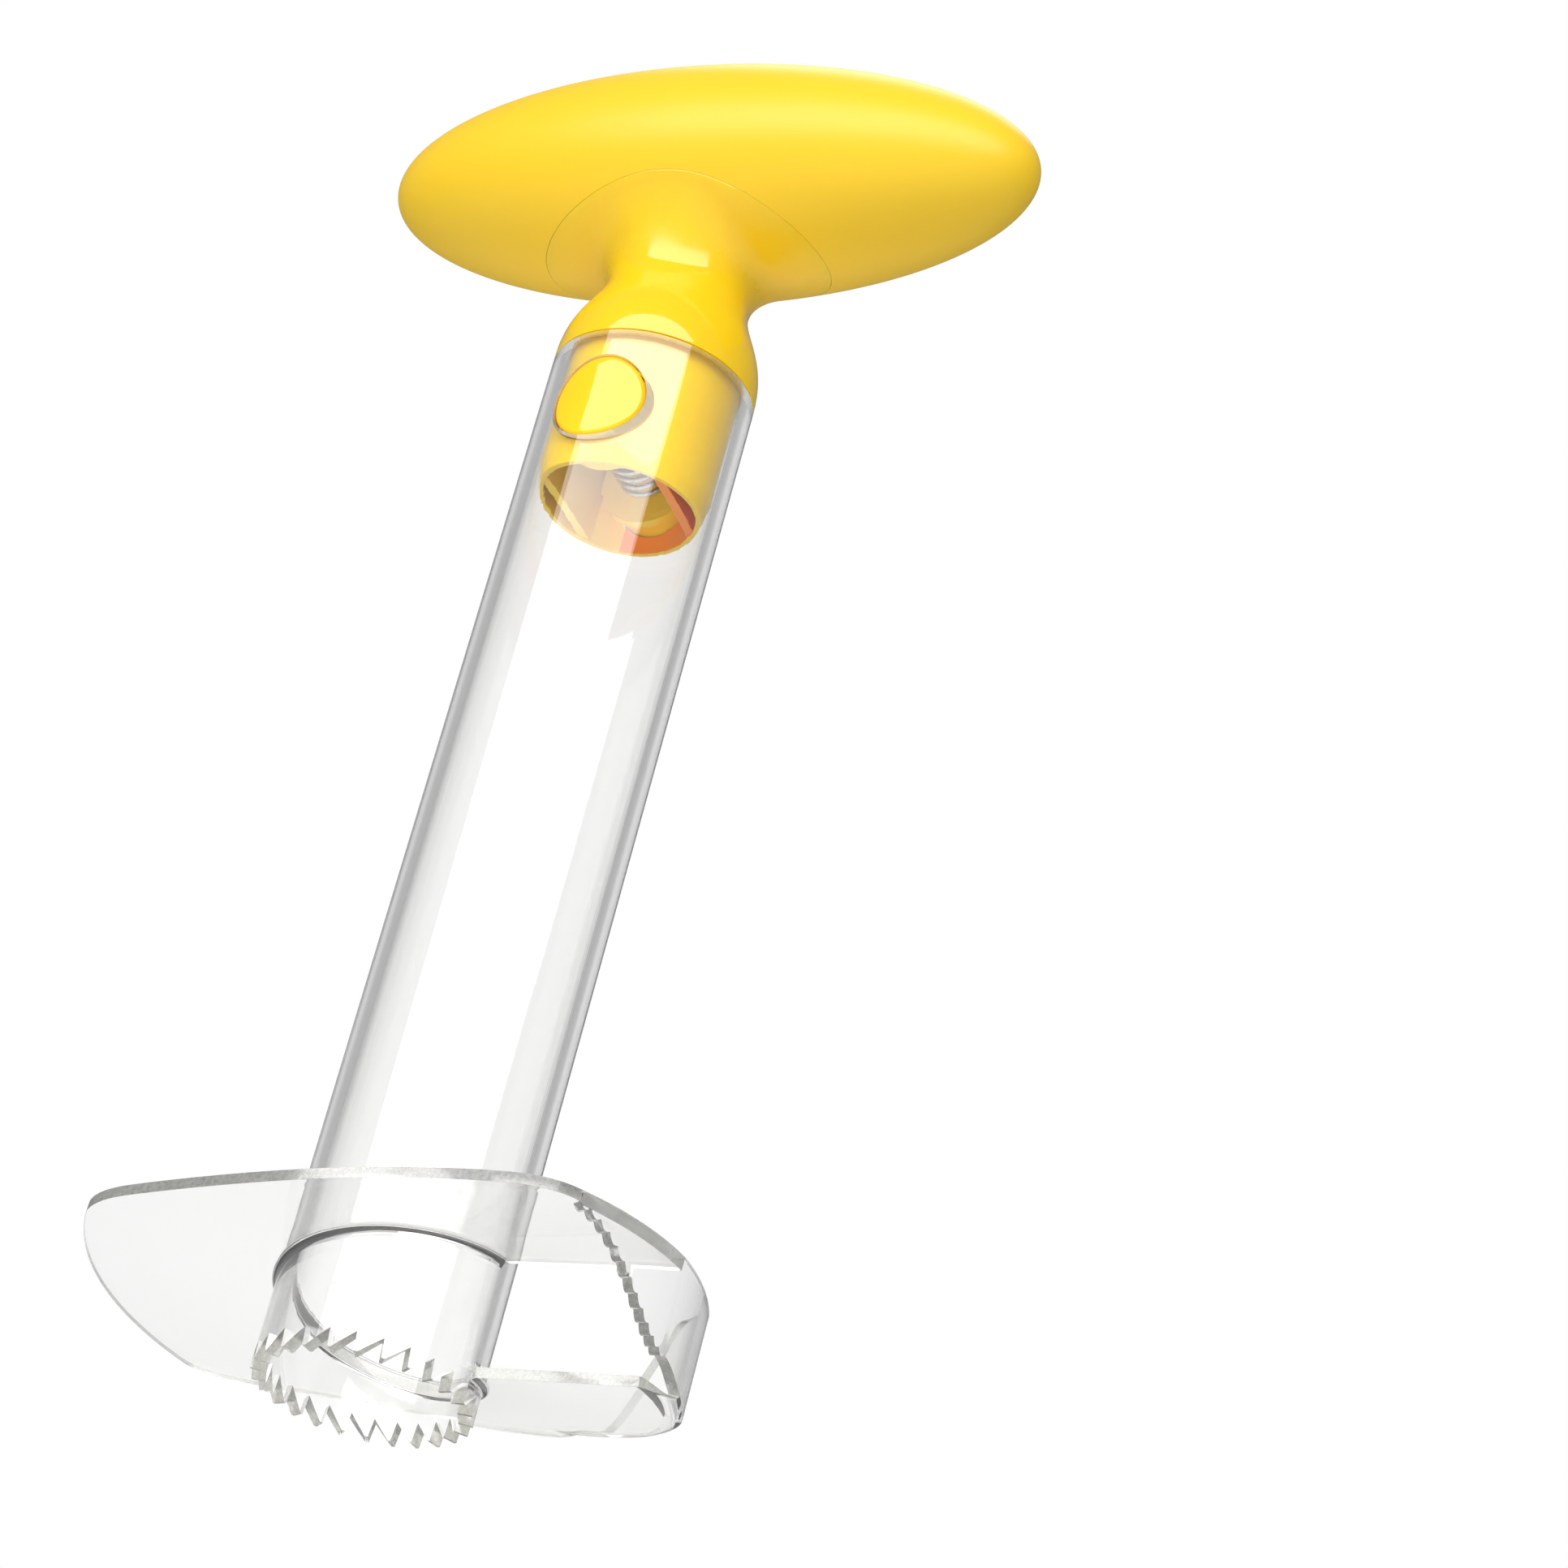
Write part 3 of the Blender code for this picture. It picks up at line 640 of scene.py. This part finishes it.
def stem_rings():
    """Rings of the stem: up the outside from the sleeve's bore, over the saddle, down its pocket."""
    angles = even_angles(STEM_COLUMNS)
    pocket_radius = WAIST_RADIUS - NECK_WALL
    rings = [
        ring(BORE_RADIUS, ROOF_Z, angles),
        ring(BORE_RADIUS, MOUTH_Z, angles),
        ring(SLEEVE_RADIUS - LEAD_IN_DEPTH, MOUTH_Z, angles),
        ring(SLEEVE_RADIUS, MOUTH_Z + LEAD_IN_HEIGHT, angles),
        ring(SLEEVE_RADIUS, FLANGE_Z, angles),
    ]
    for step in range(BELL_STEPS):
        share = step / BELL_STEPS
        swell = (1 + math.cos(math.pi * share**BELL_CURVE_SHARE)) / 2
        radius = WAIST_RADIUS + swell * (TUBE_RADIUS - WAIST_RADIUS)
        rings.append(ring(radius, FLANGE_Z + share * BELL_HEIGHT, angles))
    fillets = [neck_fillet(angle) for angle in angles]
    for step in range(FILLET_STEPS + 1):
        level = []
        for angle, fillet in zip(angles, fillets):
            radius, z = fillet[step]
            level.append((radius * math.cos(angle), radius * math.sin(angle), z))
        rings.append(level)
    for step in range(1, SADDLE_STEPS + 1):
        level = []
        for angle, fillet in zip(angles, fillets):
            start = fillet[-1][0]
            radius = start + step / SADDLE_STEPS * (saddle_radius(angle) - start)
            x = radius * math.cos(angle)
            y = radius * math.sin(angle)
            level.append((x, y, grip_height(x, y, -1)))
        rings.append(level)
    top_z = plug_top_z()
    rings.append([(x, y, top_z) for x, y, z in rings[-1]])
    rings.append(ring(pocket_radius, top_z, angles))
    rings.append(ring(pocket_radius, ROOF_Z + ROOF_THICKNESS, angles))
    return rings


def build_guide_web(side):
    """A flat web across the sleeve's bore, beside the buttons."""
    reach = BORE_RADIUS + WEB_LAP
    inner_x = BUTTON_FLANGE_RADIUS + WEB_CLEARANCE
    outer_x = inner_x + WEB_THICKNESS
    inner_y = math.sqrt(reach**2 - inner_x**2)
    outer_y = math.sqrt(reach**2 - outer_x**2)
    corners = [
        (side * inner_x, -inner_y),
        (side * outer_x, -outer_y),
        (side * outer_x, outer_y),
        (side * inner_x, inner_y),
    ]
    levels = (MOUTH_Z + WEB_SETBACK, ROOF_Z + ROOF_THICKNESS / 2)
    rings = [[(x, y, z) for x, y in corners] for z in levels]
    return add_object("web", loft(rings))


def build_stem():
    stem = add_object("stem", loft(stem_rings()))
    for side in (-1, 1):
        combine(stem, build_guide_web(side), "UNION")
    hole_radius = BUTTON_RADIUS + BUTTON_CLEARANCE
    combine(stem, cross_cutter("sleeve_holes", hole_radius, SLEEVE_RADIUS + OVERRUN), "DIFFERENCE")
    round_edges(stem, SEAM_ROUNDING, angle=45)
    web_reach = BUTTON_FLANGE_RADIUS + WEB_CLEARANCE + WEB_THICKNESS
    for face in stem.data.polygons:
        x, y, z = face.center
        inside = math.hypot(x, y) < BORE_RADIUS + EDGE_ROUNDING and z < ROOF_Z + EDGE_ROUNDING
        web = abs(x) < web_reach and abs(face.normal.x) > FLAT_LIMIT
        # Painted glow and shade: bore faces on the +X side, other than the webs, take the deep orange.
        painted_glow = inside and not web and x > PAINTED_GLOW_START
        face.material_index = BORE if painted_glow else OUTSIDE
    smooth(stem)
    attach(stem, "cutter")
    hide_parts("handle_stem")
    stem.data.materials.append(gloss_yellow("neck_yellow", YELLOW))
    stem.data.materials.append(gloss_yellow("bore_painted_glow", BORE_PAINTED_GLOW))


# Grip


def build_grip():
    """An ellipsoid shell, cut open below for the saddle."""
    bm = bmesh.new()
    form = (
        Matrix.Translation((0, 0, GRIP_Z))
        @ Matrix.Diagonal((GRIP_HALF_LENGTH, GRIP_RADIUS, GRIP_RADIUS, 1))
        @ Matrix.Rotation(math.pi / 2, 4, "Y")
    )
    bmesh.ops.create_uvsphere(bm, u_segments=GRIP_AROUND, v_segments=GRIP_ALONG, radius=1, matrix=form)
    grip = add_object("grip", bm)
    shell = grip.modifiers.new("shell", "SOLIDIFY")
    shell.thickness = GRIP_WALL
    shell.offset = -1
    shell.use_even_offset = True
    settle(grip)
    angles = even_angles(STEM_COLUMNS)
    levels = (FLANGE_Z, plug_top_z() + SEAT_GAP)
    outline = [(saddle_radius(a, SEAM_GAP), a) for a in angles]
    rings = [[(r * math.cos(a), r * math.sin(a), z) for r, a in outline] for z in levels]
    combine(grip, add_object("opening", loft(rings)), "DIFFERENCE")
    round_edges(grip, SEAM_ROUNDING, angle=45)
    smooth(grip)
    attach(grip, "cutter")
    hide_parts("grip_shell")
    grip.data.materials.append(satin_yellow())


# Release buttons


def build_button(name, side, body, node):
    """A round button with a face that continues the tube's surface, a flange and a spring boss."""
    angles = even_angles(BUTTON_COLUMNS)

    def face(radius, below=0.0):
        points = []
        for angle in angles:
            x = radius * math.cos(angle)
            points.append((x, math.sqrt(TUBE_RADIUS**2 - x * x) - below, radius * math.sin(angle)))
        return points

    def plain(radius, y):
        return [(radius * math.cos(a), y, radius * math.sin(a)) for a in angles]

    rings = [face(BUTTON_RADIUS * share) for share in FACE_SHARES]
    for step in range(EDGE_STEPS + 1):
        turned = math.pi / 2 * step / EDGE_STEPS
        radius = BUTTON_RADIUS - BUTTON_EDGE + BUTTON_EDGE * math.sin(turned)
        rings.append(face(radius, BUTTON_EDGE * (1 - math.cos(turned))))
    rings += [
        plain(BUTTON_RADIUS, FLANGE_SEAT),
        plain(BUTTON_FLANGE_RADIUS, FLANGE_SEAT),
        plain(BUTTON_FLANGE_RADIUS, FLANGE_BACK),
        plain(BUTTON_BOSS_RADIUS, FLANGE_BACK),
        plain(BUTTON_BOSS_RADIUS, BOSS_END),
    ]
    button = add_object(name, loft(rings))
    placed = Matrix.Translation((0, 0, BUTTON_Z))
    if side < 0:
        placed = placed @ Matrix.Rotation(math.pi, 4, "Z")
    button.data.transform(placed)
    smooth(button, 40)
    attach(button, body)
    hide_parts(node)
    button.data.materials.append(gloss_yellow(name + "_yellow", YELLOW))


# Button spring


def spring_half(side):
    """Half of the coil, from the middle out to one button's flange."""
    reach = FLANGE_BACK - SEAT_GAP
    coil_half = reach - WIRE_DIAMETER
    steps = SPRING_TURNS * POINTS_PER_TURN // 2
    route = []
    for step in range(steps + 1):
        share = step / steps
        angle = side * math.pi * SPRING_TURNS * share
        radial = Vector((math.cos(angle), 0, math.sin(angle)))
        route.append((radial * SPRING_RADIUS + Vector((0, side * coil_half * share, 0)), radial))
    last, radial = route[-1]
    route.append((Vector((last.x, side * (reach - WIRE_DIAMETER / 2), last.z)), radial))
    route.append((Vector((last.x, side * reach, last.z)), radial))
    rings = []
    for i, (point, radial) in enumerate(route):
        before = route[max(i - 1, 0)][0]
        after = route[min(i + 1, len(route) - 1)][0]
        along = (after - before).normalized()
        across = along.cross(radial).normalized()
        out = across.cross(along)
        section = []
        for turn in even_angles(WIRE_SIDES):
            offset = out * math.cos(turn) + across * math.sin(turn)
            section.append(point + offset * WIRE_DIAMETER / 2)
        rings.append(section)
    name = "spring_front" if side < 0 else "spring_rear"
    spring = add_object(name, loft(rings))
    spring.data.transform(Matrix.Translation((0, 0, BUTTON_Z)))
    smooth(spring, 50)
    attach(spring, "cutter")
    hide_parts("button_spring")
    spring.data.materials.append(steel())
    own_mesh(spring)


# Node tools


def noise(nodes, links, scale, detail, stretch=(1, 1, 1)):
    """Noise in the object's own metres."""
    place = nodes.new("ShaderNodeTexCoord")
    spread = nodes.new("ShaderNodeMapping")
    spread.inputs["Scale"].default_value = stretch
    texture = nodes.new("ShaderNodeTexNoise")
    texture.inputs["Scale"].default_value = scale
    texture.inputs["Detail"].default_value = detail
    links.new(place.outputs["Object"], spread.inputs["Vector"])
    links.new(spread.outputs["Vector"], texture.inputs["Vector"])
    return texture.outputs["Fac"]


def mapped(nodes, links, value, span, results=(0.0, 1.0), interpolation="LINEAR"):
    """A span of a value mapped to results, which hold at its ends."""
    change = nodes.new("ShaderNodeMapRange")
    change.interpolation_type = interpolation
    names = ("From Min", "From Max", "To Min", "To Max")
    for name, number in zip(names, (*span, *results)):
        change.inputs[name].default_value = number
    links.new(value, change.inputs["Value"])
    return change.outputs["Result"]


def ranged(nodes, links, value, low, high):
    """A noise spread from low to high."""
    return mapped(nodes, links, value, NOISE_SPAN, (low, high))


def object_height(nodes, links):
    """Height above the tooth tips."""
    place = nodes.new("ShaderNodeTexCoord")
    parts = nodes.new("ShaderNodeSeparateXYZ")
    links.new(place.outputs["Object"], parts.inputs[0])
    return parts.outputs["Z"]


def mixed(nodes, links, share, first, second):
    """Two values mixed by a share."""
    mix = nodes.new("ShaderNodeMix")
    for index, value in ((0, share), (2, first), (3, second)):
        links.new(value, mix.inputs[index])
    return mix.outputs[0]


def between(nodes, links, share, first, second):
    """Two constant colours mixed by a share."""
    mix = nodes.new("ShaderNodeMix")
    mix.data_type = "RGBA"
    mix.inputs[6].default_value = first
    mix.inputs[7].default_value = second
    links.new(share, mix.inputs[0])
    return mix.outputs[2]


def joined(nodes, links, operation, first, second):
    """Two numbers or sockets joined by one operation."""
    node = nodes.new("ShaderNodeMath")
    node.operation = operation
    for socket, value in zip(node.inputs, (first, second)):
        if isinstance(value, float):
            socket.default_value = value
        else:
            links.new(value, socket)
    return node.outputs[0]


def counted_once(nodes, links, path, kept):
    """The share kept of light that comes to a matt surface through glass, and also reaches it straight."""
    spread = joined(nodes, links, "MINIMUM", path.outputs["Diffuse Depth"], 1.0)
    twice = joined(nodes, links, "MULTIPLY", path.outputs["Is Transmission Ray"], spread)
    return joined(nodes, links, "SUBTRACT", 1.0, joined(nodes, links, "MULTIPLY", twice, 1.0 - kept))


def bumped(nodes, links, shader, value, distance, strength):
    bump = nodes.new("ShaderNodeBump")
    bump.inputs["Distance"].default_value = distance
    bump.inputs["Strength"].default_value = strength
    links.new(value, bump.inputs["Height"])
    links.new(bump.outputs["Normal"], shader.inputs["Normal"])


def show(nodes, links, share, first, second):
    """End a material with two shaders mixed by a share."""
    mix = nodes.new("ShaderNodeMixShader")
    links.new(share, mix.inputs[0])
    links.new(first.outputs[0], mix.inputs[1])
    links.new(second.outputs[0], mix.inputs[2])
    links.new(mix.outputs[0], nodes["Material Output"].inputs["Surface"])


# Materials


def new_material(name):
    mat = bpy.data.materials.new(name)
    mat.use_nodes = True
    nodes = mat.node_tree.nodes
    return mat, nodes, mat.node_tree.links, nodes["Principled BSDF"]


def let_light_through(nodes, links, shader, share):
    """Let a share of the light that falls on what is behind glass go straight through its surface."""
    path = nodes.new("ShaderNodeLightPath")
    straight = nodes.new("ShaderNodeBsdfTransparent")
    straight.inputs["Color"].default_value = share
    show(nodes, links, path.outputs["Is Shadow Ray"], shader, straight)


def clear_plastic():
    """Clear moulding with a painted grey shade where it is seen edge on, and scuffed at its cutting end.
    """
    mat, nodes, links, shader = new_material("clear_moulding")
    shader.inputs["IOR"].default_value = CLEAR_IOR
    edge = nodes.new("ShaderNodeLayerWeight")
    # Painted shade: the base colour turns grey where the surface is seen edge on.
    edge_shade = joined(nodes, links, "POWER", edge.outputs["Facing"], EDGE_ON_POWER)
    links.new(between(nodes, links, edge_shade, *CLEAR_AND_EDGE_SHADE), shader.inputs["Base Color"])
    cutting_end = (SCUFF_HEIGHT, 0.0)
    scuffed = mapped(nodes, links, object_height(nodes, links), cutting_end, interpolation="SMOOTHSTEP")
    clear = mapped(nodes, links, scuffed, (0.0, 1.0), CLEARNESS)
    links.new(clear, shader.inputs["Transmission Weight"])
    grain = noise(nodes, links, scale=900, detail=2.0)
    fine = ranged(nodes, links, grain, low=0.008, high=0.02)
    worn = ranged(nodes, links, grain, low=0.02, high=0.06)
    rough = mixed(nodes, links, scuffed, fine, worn)
    path = nodes.new("ShaderNodeLightPath")
    spread = joined(nodes, links, "MINIMUM", path.outputs["Diffuse Depth"], 1.0)
    seen = joined(nodes, links, "SUBTRACT", 1.0, spread)
    links.new(joined(nodes, links, "MULTIPLY", rough, seen), shader.inputs["Roughness"])
    let_light_through(nodes, links, shader, CLEAR_SHARE)
    return mat


def cut_plastic(name, tones, clearness, share):
    """The same plastic, faintly frosted by the mould on teeth, rims, edges and hole walls; the hole walls'
    tan is painted bounce light.
    """
    mat, nodes, links, shader = new_material(name)
    shader.inputs["IOR"].default_value = CLEAR_IOR
    grain = noise(nodes, links, scale=1600, detail=3.0)
    links.new(between(nodes, links, grain, *tones), shader.inputs["Base Color"])
    links.new(ranged(nodes, links, grain, low=0.10, high=0.22), shader.inputs["Roughness"])
    links.new(ranged(nodes, links, grain, *clearness), shader.inputs["Transmission Weight"])
    let_light_through(nodes, links, shader, share)
    return mat


def gloss_yellow(name, tones):
    """Polished yellow moulding that turns satin where it meets the grip."""
    mat, nodes, links, shader = new_material(name)
    drift = noise(nodes, links, scale=60, detail=2.0)
    links.new(between(nodes, links, drift, *tones), shader.inputs["Base Color"])
    grain = noise(nodes, links, scale=700, detail=3.0)
    polished = ranged(nodes, links, grain, low=0.06, high=0.11)
    satin = ranged(nodes, links, grain, low=0.28, high=0.34)
    fillet = (WAIST_Z, WAIST_Z + FILLET_REACH)
    raised = mapped(nodes, links, object_height(nodes, links), fillet, interpolation="SMOOTHSTEP")
    links.new(mixed(nodes, links, raised, polished, satin), shader.inputs["Roughness"])
    shader.inputs["IOR"].default_value = GLOSS_IOR
    shader.inputs["Subsurface Weight"].default_value = 0.3
    shader.inputs["Subsurface Radius"].default_value = (1.0, 0.3, 0.05)
    shader.inputs["Subsurface Scale"].default_value = 0.002
    return mat


def satin_yellow():
    mat, nodes, links, shader = new_material("grip_satin_yellow")
    drift = noise(nodes, links, scale=45, detail=2.0)
    links.new(between(nodes, links, drift, *SATIN_YELLOW), shader.inputs["Base Color"])
    grain = noise(nodes, links, scale=2600, detail=4.0)
    links.new(ranged(nodes, links, grain, low=0.33, high=0.42), shader.inputs["Roughness"])
    shader.inputs["IOR"].default_value = SATIN_IOR
    bumped(nodes, links, shader, grain, distance=0.00004, strength=0.35)
    return mat


def steel():
    mat, nodes, links, shader = new_material("spring_wire")
    drawn = noise(nodes, links, scale=1400, detail=3.0, stretch=(0.3, 1, 0.3))
    links.new(between(nodes, links, drawn, *STEEL_TONES), shader.inputs["Base Color"])
    shader.inputs["Metallic"].default_value = 1.0
    links.new(ranged(nodes, links, drawn, low=0.22, high=0.38), shader.inputs["Roughness"])
    bumped(nodes, links, shader, drawn, distance=0.00002, strength=0.4)
    return mat


def pale_floor():
    """A pale floor, seen from above only, that fades into the white background away from the object."""
    mat, nodes, links, shader = new_material("floor_pale")
    shader.inputs["Base Color"].default_value = FLOOR_TONE
    shader.inputs["Roughness"].default_value = 0.9
    path = nodes.new("ShaderNodeLightPath")
    place = nodes.new("ShaderNodeTexCoord")
    away = nodes.new("ShaderNodeVectorMath")
    away.operation = "LENGTH"
    links.new(place.outputs["Object"], away.inputs[0])
    fade = mapped(nodes, links, away.outputs["Value"], FLOOR_FADE, interpolation="SMOOTHSTEP")
    spread = joined(nodes, links, "MAXIMUM", path.outputs["Diffuse Depth"], path.outputs["Is Shadow Ray"])
    seen = joined(nodes, links, "SUBTRACT", 1.0, joined(nodes, links, "MINIMUM", spread, 1.0))
    faded = joined(nodes, links, "MULTIPLY", fade, seen)
    side = nodes.new("ShaderNodeNewGeometry")
    hidden = joined(nodes, links, "MAXIMUM", side.outputs["Backfacing"], faded)
    show(nodes, links, hidden, shader, nodes.new("ShaderNodeBsdfTransparent"))
    return mat


# Floor, light and camera


def build_floor():
    bm = bmesh.new()
    bmesh.ops.create_grid(bm, x_segments=1, y_segments=1, size=FLOOR_SIZE / 2)
    floor = add_object("floor", bm)
    floor.data.materials.append(pale_floor())


def build_world():
    """A white background, shown by glass too, around a studio that lights the object more softly."""
    world = bpy.data.worlds.new("studio")
    world.use_nodes = True
    bpy.context.scene.world = world
    nodes = world.node_tree.nodes
    links = world.node_tree.links
    background = nodes["Background"]
    background.inputs["Color"].default_value = (1, 1, 1, 1)
    path = nodes.new("ShaderNodeLightPath")
    backdrop = nodes.new("ShaderNodeTexCoord")
    facing = nodes.new("ShaderNodeVectorMath")
    facing.operation = "DOT_PRODUCT"
    facing.inputs[1].default_value = VIEW_FORWARD
    links.new(backdrop.outputs["Generated"], facing.inputs[0])
    parts = nodes.new("ShaderNodeSeparateXYZ")
    links.new(backdrop.outputs["Generated"], parts.inputs[0])

    edge_to_core = (BACKDROP_EDGE, BACKDROP_CORE)
    dim_to_white = (BACKDROP_DIM, 1.0)
    behind = mapped(nodes, links, facing.outputs["Value"], edge_to_core, dim_to_white, "SMOOTHSTEP")
    level = mapped(nodes, links, parts.outputs["Z"], LEVEL_RISE)
    white = joined(nodes, links, "MAXIMUM", behind, level)
    through = joined(nodes, links, "MULTIPLY", path.outputs["Is Transmission Ray"], white)
    through = joined(nodes, links, "MULTIPLY", through, counted_once(nodes, links, path, kept=0.0))

    mirrored = joined(nodes, links, "MULTIPLY", path.outputs["Is Glossy Ray"], GLOSS_DIMMING)
    plain = joined(nodes, links, "SUBTRACT", STUDIO_LIGHT, mirrored)
    plain = joined(nodes, links, "MULTIPLY", plain, counted_once(nodes, links, path, kept=0.5))

    light = joined(nodes, links, "MAXIMUM", through, plain)
    shown = joined(nodes, links, "MAXIMUM", path.outputs["Is Camera Ray"], light)
    links.new(shown, background.inputs["Strength"])


def add_panel(name, place, size, power, target=LIT_POINT, mirrored=True, spread=180):
    """A rectangular softbox that faces a point. Gloss and glass show it where it is mirrored."""
    light = bpy.data.lights.new(name, "AREA")
    light.shape = "RECTANGLE"
    light.size = size[0]
    light.size_y = size[1]
    light.energy = power
    light.spread = math.radians(spread)
    light.use_nodes = True
    nodes = light.node_tree.nodes
    links = light.node_tree.links
    counted = counted_once(nodes, links, nodes.new("ShaderNodeLightPath"), kept=0.0)
    links.new(counted, nodes["Emission"].inputs["Strength"])
    obj = bpy.data.objects.new(name, light)
    obj.location = place
    obj.rotation_euler = (Vector(target) - Vector(place)).to_track_quat("-Z", "Y").to_euler()
    obj.visible_camera = False
    obj.visible_glossy = mirrored
    obj.visible_transmission = mirrored
    bpy.context.scene.collection.objects.link(obj)


def build_lights():
    add_panel("key", place=(0.19, -1.02, 0.75), size=(2.05, 0.66), power=17.5)
    add_panel("top", place=(-0.2, 0.55, 1.5), size=(0.8, 0.6), power=3.5)
    add_panel("fill", place=(-0.45, 1.0, 0.8), size=(1.2, 0.8), power=6.5, mirrored=False)
    add_panel(
        "bounce",
        place=(0.012, -0.06, 0.075),
        size=(0.05, 0.03),
        power=0.0045,
        target=(0, 0.004, 0.155),
        mirrored=False,
        spread=50,
    )


def build_camera():
    camera = bpy.data.cameras.new("camera")
    camera.sensor_width = SENSOR_WIDTH
    camera.lens = FOCAL_LENGTH
    camera.clip_start = CLIP_START
    obj = bpy.data.objects.new("camera", camera)
    axes = (Vector(VIEW_RIGHT), -Vector(VIEW_DOWN), -Vector(VIEW_FORWARD))
    turned = Matrix(axes).transposed().to_4x4()
    obj.matrix_world = Matrix.Translation(VIEW_PLACE) @ turned
    bpy.context.scene.collection.objects.link(obj)
    bpy.context.scene.camera = obj


bpy.context.scene.view_settings.view_transform = "Standard"
build_camera()
build_floor()
build_world()
build_lights()

build_cutter()
build_stem()
build_grip()
build_button("button_front", -1, "front_button", "release_button_front")
build_button("button_rear", 1, "rear_button", "release_button_rear")
for end in (-1, 1):
    spring_half(end)
